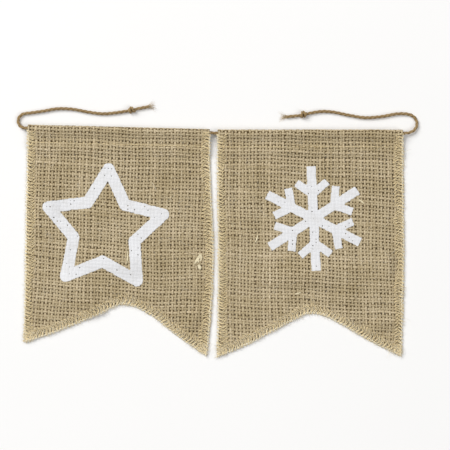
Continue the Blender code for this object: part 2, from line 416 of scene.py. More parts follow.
def new_finish(name, roughness, sheen=0.0):
    """A material with one shader, and its tree."""
    material = bpy.data.materials.new(name)
    material.use_nodes = True
    shader = material.node_tree.nodes["Principled BSDF"]
    for socket, value in (("Roughness", roughness), ("Sheen Weight", sheen),
                          ("Sheen Roughness", 0.5), ("Sheen Tint", SHEEN_TINT)):
        shader.inputs[socket].default_value = value
    return material, material.node_tree, shader


def surfaced(tree, shader, colour, height, strength, depth):
    """The shader's colour, and its fine relief from a height."""
    tree.links.new(colour, shader.inputs["Base Color"])
    bump = add_node(tree, "ShaderNodeBump", {
        "Strength": strength, "Distance": depth, "Height": height})
    tree.links.new(bump.outputs["Normal"], shader.inputs["Normal"])


def floor_finish():
    """Pale matt paper, very slightly uneven in tone."""
    material, tree, shader = new_finish("pale_floor", 0.9)
    tone = ramp(tree, noise(tree, own_place(tree), 3.0),
                ((0.3, (0.93, 0.93, 0.93)), (0.7, (0.945, 0.945, 0.945))))
    tree.links.new(tone, shader.inputs["Base Color"])
    return material


def plant_fibre(name, stops, streak, twist, spread, depth, mottle):
    """Dry plant fibre, on the fibre map: metres along the yarn, and yarn number plus turn round it.

    The streaks follow the yarn's twist: noise on (along, turn + twist * along), drawn out along
    the yarn. Each yarn has its own tone by its number, cloudy patches lie over the whole piece,
    and what lies inside the cloth or a groove is darker and browner by painted shade, from the
    painted_shade attribute.
    """
    material, tree, shader = new_finish(name, 0.88, 0.06)
    shader.inputs["Specular IOR Level"].default_value = 0.18
    fibre = add_node(tree, "ShaderNodeUVMap", uv_map="fibre").outputs["UV"]
    apart = add_node(tree, "ShaderNodeSeparateXYZ", {"Vector": fibre})
    along, number = apart.outputs["X"], apart.outputs["Y"]
    slanted = worked(tree, "MULTIPLY_ADD", along, twist, number)
    yarn = worked(tree, "FLOOR", number)
    place = add_node(tree, "ShaderNodeCombineXYZ", {
        "X": worked(tree, "MULTIPLY", along, streak), "Y": worked(tree, "MULTIPLY", slanted, 9.0),
        "Z": worked(tree, "MULTIPLY", yarn, 3.7)}).outputs["Vector"]
    hairs = noise(tree, place, 1.0, 4.0, 0.65)
    own = add_node(tree, "ShaderNodeTexWhiteNoise", {"W": yarn},
                   noise_dimensions="1D").outputs["Value"]
    low, high = 1.0 - spread, 1.0 + spread
    tones = ((0.0, (low, low * 0.985, low * 0.95)), (0.55, WHITE), (1.0, (high, high, high * 1.03)))
    clouds = noise(tree, own_place(tree), 34.0, 3.0)
    painted_shade = add_node(tree, "ShaderNodeAttribute", attribute_name="painted_shade").outputs["Fac"]
    colour = ramp(tree, hairs, stops)
    # The last of these is painted shade: the painted_shade attribute darkens and browns what lies deep in the cloth or
    # in a groove.
    for value, shades in ((own, tones), (clouds, ((0.3, darker(mottle, 1.15, 1.6)), (0.7, WHITE))),
                          (painted_shade, ((0.08, WHITE), (0.62, darker(depth, 1.08, 1.2))))):
        colour = multiplied(tree, colour, ramp(tree, value, shades))
    surfaced(tree, shader, colour, hairs, 0.55, 0.12 * MM)
    return material


def white_paint():
    """Matt screen paint: chalky white, thinner and a little warmer in patches, finely grained."""
    material, tree, shader = new_finish("white_paint", 0.62)
    spot = own_place(tree)
    grain = noise(tree, spot, 2600.0, 3.0, 0.7)
    colour = ramp(tree, noise(tree, spot, 160.0, 3.0, 0.6),
                  ((0.25, (0.72, 0.718, 0.725)), (0.5, (0.776, 0.782, 0.806)),
                   (0.8, (0.80, 0.81, 0.838))))
    fine = ramp(tree, grain, ((0.25, (0.93, 0.93, 0.92)), (0.55, WHITE)))
    surfaced(tree, shader, multiplied(tree, colour, fine), grain, 0.35, 0.05 * MM)
    return material


# ---------------------------------------------------------------- tubes

# Sections one wide and one high, each point with a third number, 0 to 1, for painted shade.
HEXAGON = np.array(((1, 0, 0), (0.5, 1, 0), (-0.5, 1, 0),
                    (-1, 0, 0), (-0.5, -1, 0), (0.5, -1, 0))) / 2
DIAMOND = np.array(((1, 0, 0), (0, 1, 0), (-1, 0, 0), (0, -1, 0))) / 2
# What the hexagon gains between two crossings, where loose fibre fills the corners of a gap: its
# sides go down, its flats a little out, and the lowered sides take painted shade so the gaps look
# dark. SIDES are the points that also reach out to the next yarn.
WEBBED = np.array(((0.0, -0.40, 1.0), (0.07, 0.0, 0.0), (-0.07, 0.0, 0.0),
                   (0.0, -0.40, 1.0), (-0.07, -0.1, 0.1), (0.07, -0.1, 0.1)))
SIDES = np.array((1, 0, 0, -1, 0, 0))


def three_strands():
    """Outline of three strands laid together, one wide: the far side of three equal circles.

    The grooves between them take painted shade.
    """
    out, strand = 0.258, 0.242
    turn = np.linspace(0, 2 * math.pi, 12, endpoint=False)
    off = (turn + math.pi / 3) % (2 * math.pi / 3) - math.pi / 3
    reach = out * np.cos(off) + np.sqrt(strand ** 2 - (out * np.sin(off)) ** 2)
    groove = (reach.max() - reach) / np.ptp(reach)
    return np.stack((reach * np.cos(turn), reach * np.sin(turn), 0.8 * groove), axis=1)


def tube_quads(stations, sides):
    """Corners of a closed tube's quads as (station, step round).

    The wall joins neighbouring stations and steps. Each end is a fan of quads from step 0.
    """
    station, step = np.indices((stations - 1, sides)).reshape(2, -1)
    wall = np.stack((np.stack((station, station, station + 1, station + 1), 1),
                     np.stack((step, step + 1, step + 1, step), 1)), axis=2)
    fan = np.array([(0, 2 * f + 1, 2 * f + 2, 2 * f + 3) for f in range((sides - 2) // 2)])
    first = np.stack((np.zeros_like(fan), fan[:, ::-1]), axis=2)
    last = np.stack((np.full_like(fan, stations - 1), fan), axis=2)
    return np.concatenate((wall, first, last))


def tube_piece(name, tubes, section, material, slot):
    """One piece of closed tubes. A tube is a dict of arrays, one row a station.

    path is its middle line and up the way its section's height points; a point of the section
    (a, b) lies at path + a * wide * side + b * high * up, with side = along x up, turned by turn.
    web, 0 to 1, is how much of WEBBED a station takes on, and reach is how far its SIDES go out.
    The painted_shade attribute is painted shade: the section's tone, plus shaded, and where base
    gives the middle of the cloth, deeper the nearer a point is to it.
    The fibre map holds metres along and number plus turn. OFBake folds the strips into rows.
    """
    sides = len(section)
    points, quads, corners, tones = [], [], [], []
    start, run, girth = 0, 0.0, 0.0
    for number, tube in enumerate(tubes):
        path, stations = tube["path"], len(tube["path"])
        along = unit(np.gradient(path, axis=0))
        side = unit(np.cross(along, tube["up"]))
        up = np.cross(side, along)
        turn, wide, high = (np.broadcast_to(tube.get(key, 0.0), stations)[:, None]
                            for key in ("turn", "wide", "high"))
        side, up = (side * np.cos(turn) + up * np.sin(turn),
                    up * np.cos(turn) - side * np.sin(turn))
        shape = np.tile(section, (stations, 1, 1))
        if "web" in tube:
            shape += tube["web"][:, None, None] * WEBBED
            shape[..., 0] += (tube["reach"] / tube["wide"])[:, None] * SIDES
        a, b, tone = np.moveaxis(shape, 2, 0)
        rings = (path[:, None] + (a * wide)[..., None] * side[:, None]
                 + (b * high)[..., None] * up[:, None])
        rings[..., 2] = np.maximum(rings[..., 2], FLATTENED)
        # Painted shade: darker the nearer a point lies to the middle of the cloth, and by shaded.
        if "base" in tube:
            height = ((rings - tube["base"][:, None]) * tube["up"][:, None]).sum(2)
            tone = tone + np.maximum(1 - 3 * abs(height) / CLOTH, 0)
        if "shaded" in tube:
            tone = tone + tube["shaded"][:, None]
        corner = tube_quads(stations, sides)
        distance = run + distance_along(path)
        girth += float(np.linalg.norm(rings - np.roll(rings, 1, axis=1), axis=2).sum(1).mean())
        quads.append(start + corner[..., 0] * sides + corner[..., 1] % sides)
        corners.append(np.stack((distance[corner[..., 0]],
                                 number + 0.98 * corner[..., 1] / sides), axis=2))
        points.append(rings.reshape(-1, 3))
        tones.append(np.clip(tone, 0, 1).ravel())
        start += stations * sides
        run = distance[-1] + 0.3 * MM
    mesh = bpy.data.meshes.new(name)
    mesh.from_pydata(np.concatenate(points).tolist(), [], np.concatenate(quads).tolist())
    fibre = np.concatenate(corners)
    mesh.uv_layers.new(name="fibre").data.foreach_set("uv", fibre.ravel())
    rows = max(1, round(math.sqrt(run / (girth / len(tubes)))))
    length = run / rows * 1.004
    row = np.floor(fibre[:, :1, 0] / length)
    across = 0.04 + 0.92 * (fibre[..., 1] % 1.0)
    strip = np.stack((0.004 + 0.985 * (fibre[..., 0] - row * length) / length,
                      (row + across) / (row.max() + 1)), axis=2)
    mesh.uv_layers.new(name="OFBake").data.foreach_set("uv", strip.ravel())
    # The painted shade of each point, read by the finishes.
    mesh.attributes.new("painted_shade", "FLOAT", "POINT").data.foreach_set("value", np.concatenate(tones))
    return dressed(name, mesh, material, slot)


def dressed(name, mesh, material, slot):
    """The mesh as a smooth piece that rides on the object, with its finish."""
    mesh.shade_smooth()
    mesh.materials.append(material)
    piece = placed(name, mesh)
    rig.ride(piece, BODY)
    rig.slot(piece, slot)
    return piece


# ---------------------------------------------------------------- twine

LYING = TWINE / MM / 2 + 0.05
THREADED = AXIS_HEIGHT / MM


def level(height, *plan):
    """Points of the route that lie at one height."""
    return [(x, y, height) for x, y in plan]


# The twine's route, in millimetres, from the left tail's free end to the right tail's.
TWINE_ROUTE = (
    *level(LYING, (-47.0, 96.4), (-53.5, 95.2), (-62.0, 93.4), (-71.0, 92.0), (-80.0, 91.4),
           (-90.0, 92.6), (-101.0, 94.6), (-112.0, 95.0), (-123.0, 93.2), (-131.5, 92.0),
           (-137.3, 91.0), (-140.3, 87.6)),
    (-139.6, 83.3, LYING + 0.5), (-136.6, 81.3, THREADED - 0.2),
    *level(THREADED, (-133.3, 80.95), (-110.0, 80.35), (-68.0, 79.25), (-26.0, 78.15),
           (-3.4, 77.57), (0.2, 77.44), (3.6, 77.35), (26.0, 77.35), (70.0, 77.35),
           (114.0, 77.35), (136.3, 77.35)),
    (140.4, 77.7, THREADED - 0.3), (144.4, 79.8, LYING + 0.6),
    *level(LYING, (146.3, 84.0), (144.7, 88.5), (140.3, 91.0), (132.0, 91.3), (121.0, 89.4),
           (109.0, 88.6), (97.0, 90.4), (86.0, 92.6), (77.0, 93.0), (67.0, 91.3), (59.7, 89.9),
           (52.5, 89.2)),
)
MOUTHS = (14, 24)               # the route's points in the two outer mouths of the hems
TWINE_STEP = 0.9 * MM
LAY = 10.5 * MM                 # length of one turn of the strands
KNOT_REACH = 4.6 * MM
SLIMMER = 0.25                  # how much slimmer, as a share, the twine is inside its knot
WRAP_WIDTH = 0.8 * TWINE
WRAP_RADIUS = 0.98 * MM
WRAPS = ((1.7, 1.0, 0.4), (0.9, -0.75, 2.6))    # turns, share of the reach, angle at the start
HAIRS = 46                      # loose fibres of a cut end
BRUSH_SEEDS = {"left": 6, "right": 5}


def twine_tube(fine, run, ends, knot=None):
    """The laid twine between two distances along its route, slimmer inside a knot."""
    start, end = sorted(ends)
    at = np.linspace(start, end, int(round((end - start) / TWINE_STEP)) + 1)
    path = read_at(fine, run, at)
    path[:, 2] = np.maximum(path[:, 2], TWINE / 2 + LIFT)
    thick = np.ones(len(at))
    if knot is not None:
        thick -= SLIMMER * smooth_step(1.6 * (1 - abs(at - knot) / KNOT_REACH))
    return dict(path=path, up=np.tile(SKY_UP, (len(at), 1)), turn=2 * math.pi * at / LAY,
                wide=TWINE * thick, high=TWINE * thick)


def knot_wraps(fine, run, at, way):
    """An overhand knot: the twine goes round itself, 1.7 turns and back across them.

    Round the twine's own line: radius * (cos, sin)(turn), with the turn running along the knot,
    and both ends drawn into the middle.
    """
    wraps = []
    part = np.linspace(0, 1, 34)
    for turns, lean, begin in WRAPS:
        reach = way * lean * (part - 0.5) * KNOT_REACH
        middle = read_at(fine, run, at + reach)
        along = unit(read_at(fine, run, at + reach + 0.2 * MM) - middle)
        side = unit(np.cross(along, SKY_UP))
        angle = begin + turns * 2 * math.pi * part
        radius = (KNOT / 2 - WRAP_RADIUS) * np.sin(math.pi * part) ** 0.3
        around = side * np.cos(angle)[:, None] + SKY_UP * np.sin(angle)[:, None]
        path = middle + around * radius[:, None]
        path[:, 2] = np.maximum(path[:, 2] + 0.45 * MM, WRAP_RADIUS)
        wraps.append(dict(path=path, up=around, turn=part * turns * 3.0,
                          wide=WRAP_WIDTH, high=WRAP_WIDTH))
    return wraps


def frayed_end(fine, run, end, way, draw):
    """Loose fibres past the twine's cut end, spread like a small brush.

    Each runs straight ahead, and aside and up with the power 1.6 of the way along it.
    """
    tip, back = read_at(fine, run, np.array((end, end - way * 3.0 * MM)))
    ahead = unit(tip - back)
    across = np.cross(ahead, SKY_UP)
    part = np.linspace(0, 1, 6)[:, None]
    taper = 1 - 0.75 * part[:, 0]
    hairs = []
    for _ in range(HAIRS):
        length = draw.uniform(2.5, 7.5) * MM
        aside, rise = draw.normal(0, 0.30), draw.normal(0, 0.12)
        first = draw.uniform(-0.8, 0.8, 2) * MM
        root = tip - ahead * 1.5 * MM + across * first[0] + SKY_UP * first[1]
        spread = across * aside + SKY_UP * (rise - 0.08)
        path = root + ahead * (part * length) + spread * (part ** 1.6 * length)
        path[:, 2] = np.maximum(path[:, 2], 0.12 * MM)
        hairs.append(dict(path=path, up=np.tile(SKY_UP, (6, 1)), wide=0.17 * MM * taper,
                          high=0.15 * MM * taper))
    return hairs


def hanging_twine(material, loose):
    """The run through both hems, and a knotted tail at each side, which is a free cord."""
    points = np.array(TWINE_ROUTE) * MM
    fine = eased(points, 24)
    run = distance_along(fine)
    mouths = [run[np.argmin(np.linalg.norm(fine - points[k], axis=1))] for k in MOUTHS]
    section = three_strands()
    held = tube_piece("twine_in_the_hems", [twine_tube(fine, run, mouths)], section, material,
                      "jute_twine")
    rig.replaces(held, "hanging_twine")
    for side, mouth, end, way in (("left", mouths[0], 0.0, -1), ("right", mouths[1], run[-1], 1)):
        knot = end - way * KNOT_FROM_END
        tube = twine_tube(fine, run, (mouth, end), knot)
        tail = tube_piece(f"twine_tail_{side}", [tube], section, material, "jute_twine")
        wraps = tube_piece(f"twine_knot_{side}", knot_wraps(fine, run, knot, way), section,
                           material, "jute_twine")
        draw = np.random.default_rng(BRUSH_SEEDS[side])
        brush = tube_piece(f"twine_fray_{side}", frayed_end(fine, run, end, way, draw), DIAMOND,
                           loose, "jute_twine")
        path = tube["path"][::way]
        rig.cord(tail, exit=path[0], length=abs(end - mouth), diameter=TWINE, far_end="knot",
                stiffness="limp", lay="loose", path=path, with_pieces=[wraps, brush])


# ---------------------------------------------------------------- the cloth's surface

def hem_section():
    """Middle of the cloth across the hem: distance along the cloth, distance down, height.

    From the flap's free edge under the front, over a half circle round the twine, then down in
    two eased falls, onto the flap and off it. The distance along is 0 on top of the loop.
    """
    top, layer = AXIS_HEIGHT + LOOP_MIDDLE, LAYER_HEIGHT + CLOTH / 2
    turn = np.linspace(-math.pi / 2, -3 * math.pi / 2, 41)
    part = np.linspace(0, 1, 25)
    down = np.concatenate(((FLAP_END,), LOOP_MIDDLE * np.cos(turn), LAYERS_MEET * part[1:],
                           FLAP_CLEARED + (HEM_END - FLAP_CLEARED) * part))
    height = np.concatenate(((CLOTH / 2,), AXIS_HEIGHT + LOOP_MIDDLE * np.sin(turn),
                             top + (layer - top) * smooth_step(part[1:]),
                             CLOTH / 2 + LAYER_HEIGHT * (1 - smooth_step(part))))
    along = distance_along(np.stack((down, height), axis=1))
    return along - along[len(turn)], down, height


HEM_ALONG, HEM_DOWN, HEM_HEIGHT = hem_section()
FLAP_EDGE = HEM_ALONG[0]
FIELD_START = HEM_ALONG[-1]
RIM_LIFT = 0.30 * MM            # the cut edges lie this much higher, on their own stitches
RIM_WIDE = 9 * MM
FOLDS_RISE = 8 * MM             # below the hem the folds come to their full height over this
EDGE_STEP = 0.5 * MM
EDGE_SMOOTHED = 6               # steps, each way, over which the way inwards is smoothed


class Flag:
    """One flag's cloth: places on it are (s, c), s along the hem and c down the cloth."""

    def __init__(self, name, plan):
        self.name = name
        ends = "fold_left", "fold_right", "tip_left", "tip_right"
        left, right, *self.tips = (np.array(plan[key]) * MM for key in ends)
        self.width = float(np.linalg.norm(right - left))
        self.along = (right - left) / self.width
        self.down = np.array((self.along[1], -self.along[0]))
        self.axis = left + self.down * (LOOP_RADIUS + CLOTH)
        self.cut = [plan["tip_left"], *plan["notch"], plan["tip_right"]]
        self.bows = -plan["bow_left"] * MM, plan["bow_right"] * MM
        self.run, self.line, self.inwards = self.edge()

    def plan_of(self, s, c):
        """Plan of a place: the hem's axis + s along it + the section's distance down."""
        down = np.interp(c, HEM_ALONG, HEM_DOWN) + np.maximum(c - FIELD_START, 0)
        return self.axis + s[..., None] * self.along + down[..., None] * self.down

    def place_of(self, xy):
        """(s, c) of points of the field in plan."""
        off = xy - self.axis
        return np.stack((off @ self.along, off @ self.down + FIELD_START - HEM_END), axis=-1)

    def side_line(self, which, fall):
        """The left (0) or right (1) edge in plan, at a share of the way from the hem to the tip.

        A straight line plus the bow: bow * sin(pi fall^1.2) outwards.
        """
        start = self.axis + which * self.width * self.along + HEM_END * self.down
        line = start + (self.tips[which] - start) * fall[..., None]
        line[..., 0] += self.bows[which] * np.sin(np.pi * fall ** 1.2)
        return line

    def notch_height(self, x):
        """Height in plan of the cut between the tips."""
        return curve_through(self.cut, np.clip(x, *(tip[0] for tip in self.tips)) / MM) * MM

    def room(self, s, c):
        """Distance to the nearest cut edge, positive on the cloth."""
        x, y = np.moveaxis(self.plan_of(s, c), -1, 0)
        spaces = [c - FLAP_EDGE]
        for which, inwards, hem in ((0, 1.0, s), (1, -1.0, self.width - s)):
            top, foot = self.side_line(which, np.array((0.0, 1.0)))[:, 1]
            fall = np.clip((top - y) / (top - foot), 0, 1)
            field = inwards * (x - self.side_line(which, fall)[..., 0])
            spaces.append(np.where(c < FIELD_START, hem, field))
        step = 0.5 * MM
        slope = (self.notch_height(x + step) - self.notch_height(x - step)) / (2 * step)
        spaces.append((y - self.notch_height(x)) / np.hypot(1, slope))
        return np.min(spaces, axis=0)

    def point(self, s, c):
        """Middle of the cloth: the section's height + the soft folds + the lift of the rim."""
        xy = self.plan_of(s, c)
        height = np.interp(c, HEM_ALONG, HEM_HEIGHT)
        height = height + self.folds(xy) * smooth_step((c - FIELD_START) / FOLDS_RISE)
        rim = smooth_step(1 - self.room(s, c) / RIM_WIDE) * smooth_step((c - 12 * MM) / (8 * MM))
        return np.concatenate((xy, (height + RIM_LIFT * rim)[..., None]), axis=-1)

    def folds(self, xy):
        """Soft folds: height * (1 - along^2 - across^2)^2 inside each fold's oval foot."""
        height = np.zeros(xy.shape[:-1])
        for x, y, turn, long, wide, high in FOLDS[self.name]:
            along, across = turned(xy, (x, y), turn)
            foot = np.clip(1.0 - (along / long) ** 2 - (across / wide) ** 2, 0.0, None)
            height += high * MM * foot ** 2
        return height

    def facing(self, s, c):
        """The way the front of the cloth faces: down the cloth x along the hem."""
        step = 0.25 * MM
        across = self.point(s + step, c) - self.point(s - step, c)
        fall = self.point(s, c + step) - self.point(s, c - step)
        return unit(np.cross(fall, across))

    def raised(self, s, c, lift):
        """Points that stand off the middle of the cloth towards its front."""
        return self.point(s, c) + self.facing(s, c) * np.asarray(lift)[..., None]

    def edge(self):
        """The cut edge at even steps: distances along it, (s, c), and the way inwards.

        It runs from the left end of the hem's top, down the left side, over the notch and up the
        right side. The way inwards is across it, weighted along it with a bell.
        """
        hem = np.outer(np.linspace(0, FIELD_START, 40)[:-1], (0.0, 1.0))
        left, right = (self.place_of(self.side_line(which, np.linspace(0, 1, 400)))
                       for which in (0, 1))
        x = np.linspace(*(tip[0] for tip in self.tips), 400)[1:-1]
        notch = self.place_of(np.stack((x, self.notch_height(x)), axis=1))
        line = np.concatenate((hem, left, notch, right[::-1], hem[::-1] + (self.width, 0.0)))
        run = distance_along(line)
        at = np.linspace(0, run[-1], int(round(run[-1] / EDGE_STEP)) + 1)
        fine = read_at(line, run, at)
        way = unit(np.gradient(fine, axis=0))
        bell = np.hanning(2 * EDGE_SMOOTHED + 3)[1:-1]
        padded = np.pad(way[:, ::-1] * (1, -1), ((EDGE_SMOOTHED,) * 2, (0, 0)), mode="edge")
        inwards = np.stack([np.convolve(column, bell, "valid") for column in padded.T], axis=1)
        return at, fine, unit(inwards)

    def from_edge(self, run, inset):
        """(s, c) of places at distances along the cut edge and in from it."""
        way = read_at(self.inwards, self.run, run)
        return (read_at(self.line, self.run, run) + way * inset[:, None]).T


# ---------------------------------------------------------------- weaving

PITCH = {"warp": 2.43 * MM, "weft": 2.48 * MM}
OVER_FIRST = {"warp": 1.0, "weft": -1.0}    # which of the two is on top at an even crossing
YARN_WIDE = 1.50 * MM
YARN_HIGH = 0.60 * MM           # where two yarns cross and press each other flat
FULLER = 0.45                   # how much higher, as a share, it is between crossings
CRIMP = 0.29 * MM               # a yarn's axis rises and falls by this much
# Painted shade: the yarns under the overlock are painted darker by this much.
SHADE_UNDER_STITCHES = 0.17           # how much deeper in tone the yarns are under the overlock
SEWN_OVER = (0.6 * MM, 5.8 * MM)    # from and to this far from the edge the thread covers them
CUT_BACK = 0.35 * MM            # yarns end this far inside the cut edge
HALF_STEP = 0.5                 # yarn stations, in pitches
FIRST = -14                     # the first yarn and the first station in the noise tables
TABLE_ROWS = {"warp": 76, "weft": 100}
STATIONS = np.arange(201) * HALF_STEP + FIRST
WOVEN_FROM = -8                 # the first yarn that can touch the cloth, as the grain slopes
WARPS_PAST = 5
LAST_WEFT = 72
# grain: slope of the weft against the hem, how much of it is lost at the far side, and the lean of
# the warp; pull: how far warps are pulled aside, where and how wide, from where and over how long.
GRAIN = {
    "flag_left": dict(slope=0.0507, lost=0.070, lean=0.0103, pull=-2.6, pull_at=22.0,
                      pull_wide=24.0, pull_from=112.0, pull_long=35.0),
    "flag_right": dict(slope=0.0524, lost=0.0, lean=0.006, pull=1.3, pull_at=108.0,
                       pull_wide=20.0, pull_from=96.0, pull_long=40.0),
}
LOST_FROM, LOST_OVER = 80.0, 22.0   # where the slope is lost, in millimetres along the hem


def yarn_height(fat, between):
    """A yarn's height: less uneven than its width, fuller between two crossings."""
    return YARN_HIGH * (0.55 + 0.45 * fat) * (1 + FULLER * between)


def yarn_rise(kind, yarn, at):
    """Height of a yarn's axis over the middle of the cloth: CRIMP * cos(pi (at - yarn)).

    The weft has the other sign, so a yarn passes over one and under the next.
    """
    return OVER_FIRST[kind] * CRIMP * np.cos(np.pi * (at - yarn))


class Weave:
    """The yarns of one flag. Weave places are (u, v): u warps across and v wefts down."""

    def __init__(self, flag):
        self.flag = flag
        draw = np.random.default_rng(SEEDS[flag.name])
        self.wander, self.swell, self.reach = {}, {}, {}
        for kind, count in TABLE_ROWS.items():
            columns = len(STATIONS)
            slow, quick, thick, lumps = (soft_noise(draw, count, columns, reach)
                                         for reach in (14, 3, 10, 2))
            own = draw.normal(0, 0.05, (count, 1))
            slubs = 0.40 * smooth_step((soft_noise(draw, count, columns, 4) - 1.7) / 0.8)
            self.wander[kind] = 0.055 * slow + 0.060 * quick
            self.swell[kind] = np.clip(1 + own + 0.085 * thick + 0.055 * lumps + slubs, 0.72, 1.5)
            self.reach[kind] = self.loose_fibre(kind, draw)

    def loose_fibre(self, kind, draw):
        """How far each yarn's loose fibre reaches: half of the wider gap beside it, unevenly."""
        middle, half = self.wander[kind] * PITCH[kind], YARN_WIDE / 2 * self.swell[kind]
        gap = PITCH[kind] + np.diff(middle, axis=0) - half[1:] - half[:-1]
        before, after = (np.pad(gap, (ends, (0, 0)), mode="edge") for ends in ((1, 0), (0, 1)))
        share = np.clip(1.0 + 0.15 * draw.standard_normal(middle.shape), 0.6, 1.25)
        return np.clip(np.maximum(before, after) / 2 * share, 0.08 * MM, 0.8 * MM)

    def place(self, u, v):
        """(s, c) of a weave place: even pitches, bent to the grain seen in the cloth.

        c gains the weft's slope summed over s, eased to half of it at the hem; s gains the
        warp's lean and, where the cloth was pulled, a bell across times an eased step down.
        """
        g = GRAIN[self.flag.name]
        s, c = PITCH["warp"] * (u + 0.5), PITCH["weft"] * v
        part = (s / MM - LOST_FROM) / LOST_OVER
        held = np.clip(part, 0, 1)
        lost = LOST_OVER * (held ** 3 - held ** 4 / 2 + np.maximum(part - 1, 0))
        bend = (g["slope"] * s / MM - g["lost"] * lost) * MM
        ease = 0.5 + 0.5 * smooth_step(c / (60 * MM))
        pull = g["pull"] * MM * np.exp(-((s / MM - g["pull_at"]) / g["pull_wide"]) ** 2)
        pulled = s + g["lean"] * c + pull * smooth_step((c / MM - g["pull_from"]) / g["pull_long"])
        waves = 0.35 * MM * np.sin(u / 4.1 + 1.3 * np.sin(v / 9.0))
        sways = 0.30 * MM * np.sin(v / 4.7 + 1.7 * np.sin(u / 11.0))
        return pulled + sways, c + bend * ease + waves

    def read(self, table, kind, yarn, at):
        """A yarn's noise at places along it."""
        return np.interp(at, STATIONS, table[kind][yarn - FIRST])

    def line(self, kind, yarn, at):
        """(s, c) along a yarn, beside its even place by its wander."""
        off = yarn + self.read(self.wander, kind, yarn, at)
        return self.place(off, at) if kind == "warp" else self.place(at, off)

    def yarn(self, kind, yarn, at):
        """A stretch of one yarn as a tube, slimmer where it meets the cut edge."""
        s, c = self.line(kind, yarn, at)
        fat = self.read(self.swell, kind, yarn, at)
        base, up = self.flag.point(s, c), self.flag.facing(s, c)
        between = np.sin(np.pi * at) ** 2
        high = yarn_height(fat, between)
        path = base + up * yarn_rise(kind, yarn, at)[:, None]
        path[:, 2] = np.maximum(path[:, 2], high / 2 + LIFT)
        room = self.flag.room(s, c)
        web = between * np.clip((room - 0.8 * MM) / MM, 0, 1)
        sewn = np.minimum(room - SEWN_OVER[0], SEWN_OVER[1] - room) / (0.8 * MM)
        # web and base bring painted shade into the gaps and the middle of the cloth; shaded paints shade under the
        # stitches.
        return dict(path=path, up=up, base=base, high=high, web=web,
                    wide=np.minimum(YARN_WIDE * fat, 2 * (room + 0.12 * MM)),
                    reach=web * self.read(self.reach, kind, yarn, at),
                    shaded=SHADE_UNDER_STITCHES * np.clip(sewn, 0, 1) * (c > HEM_END))

    def stretches(self, kind, yarn):
        """The parts of a yarn that lie on the cloth, cut where its line meets the edge."""
        at = STATIONS
        room = self.flag.room(*self.line(kind, yarn, at)) - CUT_BACK
        inside = room > 0
        turns = np.flatnonzero(inside[1:] != inside[:-1])
        for first, last in zip(turns[::2], turns[1::2]):
            ends = [at[k] + HALF_STEP * room[k] / (room[k] - room[k + 1]) for k in (first, last)]
            if ends[1] - ends[0] > 1.0:
                inner = at[first + 1:last + 1]
                inner = inner[(inner - ends[0] > 0.12) & (ends[1] - inner > 0.12)]
                yield np.concatenate((ends[:1], inner, ends[1:]))

    def yarns(self, kind):
        """Every stretch of every warp, or of every weft."""
        last = LAST_WEFT if kind == "weft" else int(self.flag.width / PITCH["warp"]) + WARPS_PAST
        return [self.yarn(kind, yarn, at) for yarn in range(WOVEN_FROM, last)
                for at in self.stretches(kind, yarn)]

    def top(self, u, v, bridge):
        """Height of the yarns' upper side over the middle of the cloth, no lower than bridge.

        For the nearest warp and weft: rise + half the yarn's height, level over its flat top and
        then falling off to its sides.
        """
        best = np.full(u.shape, bridge)
        for kind, across, at in (("warp", u, v), ("weft", v, u)):
            yarn = np.rint(across)
            row = np.clip(yarn - FIRST, 0, TABLE_ROWS[kind] - 1).astype(int)
            column = np.clip(np.rint((at - FIRST) / HALF_STEP), 0, len(STATIONS) - 1).astype(int)
            off, fat = self.wander[kind][row, column], self.swell[kind][row, column]
            beside = abs(across - yarn - off) * PITCH[kind] / (YARN_WIDE * fat / 2)
            between = np.sin(np.pi * at) ** 2
            flat = np.clip((1 - beside) / (0.5 - 0.14 * between), 0, 1)
            rise = yarn_rise(kind, yarn, at) + yarn_height(fat, between) / 2 * flat
            best = np.where(beside < 1, np.maximum(best, rise), best)
        return best


# ---------------------------------------------------------------- painted motifs

FILM_STEP = 1 / 6               # the paint's grid, in pitches
FILM_BRIDGE = 0.40 * MM         # the paint spans the gaps between yarns at this height
FILM_OVER = 0.035 * MM          # its thickness over the yarns
FILM_THICK = 0.09 * MM
RAGGED = 0.10 * MM              # how uneven its outline is
SNAP = 0.30 * MM                # points this near the outline are moved onto it
PINHOLES = 0.13                 # share of the gaps that the paint left open
PINHOLE_INSIDE = 1.2 * MM       # none is nearer the outline than this
DRAWN_IN = (-0.35, 0.30)        # a rim is drawn in by this much, from and to, in grid steps
ROUNDED = (0.75, 0.22)          # at a rim's corners: times this, plus this
STAR = dict(middle=(-78.2, 8.2), tilt=-3.7, outer=43.5, inner=23.0, line=8.4)
CRYSTAL = dict(middle=(72.0, 16.0), tilt=2.9, arm=37.5, line=6.6,
               root=17.5, barb=14.0, spread=52, barb_line=5.6)


def bar(x, y, start, end, wide):
    """Distance to a straight bar with square ends, negative inside."""
    start, end = np.array(start, float), np.array(end, float)
    way = (end - start) / np.linalg.norm(end - start)
    along = (x - start[0]) * way[0] + (y - start[1]) * way[1]
    across = (y - start[1]) * way[0] - (x - start[0]) * way[1]
    half = np.linalg.norm(end - start) / 2
    over = np.stack((abs(along - half) - half, abs(across) - wide / 2))
    return np.linalg.norm(np.maximum(over, 0), axis=0) + np.minimum(over.max(0), 0)


def star(xy):
    """Distance to a five-pointed star drawn with one broad line, in millimetres."""
    x, y = turned(xy, STAR["middle"], STAR["tilt"])
    turn = np.arange(10) * math.pi / 5
    reach = np.tile((STAR["outer"], STAR["inner"]), 5)
    corner = np.stack((reach * np.sin(turn), reach * np.cos(turn)), axis=1)
    sides = [bar(x, y, a, b, STAR["line"]) for a, b in zip(corner, np.roll(corner, -1, axis=0))]
    return np.min(sides + [np.hypot(x - a[0], y - a[1]) - STAR["line"] / 2 for a in corner], axis=0)


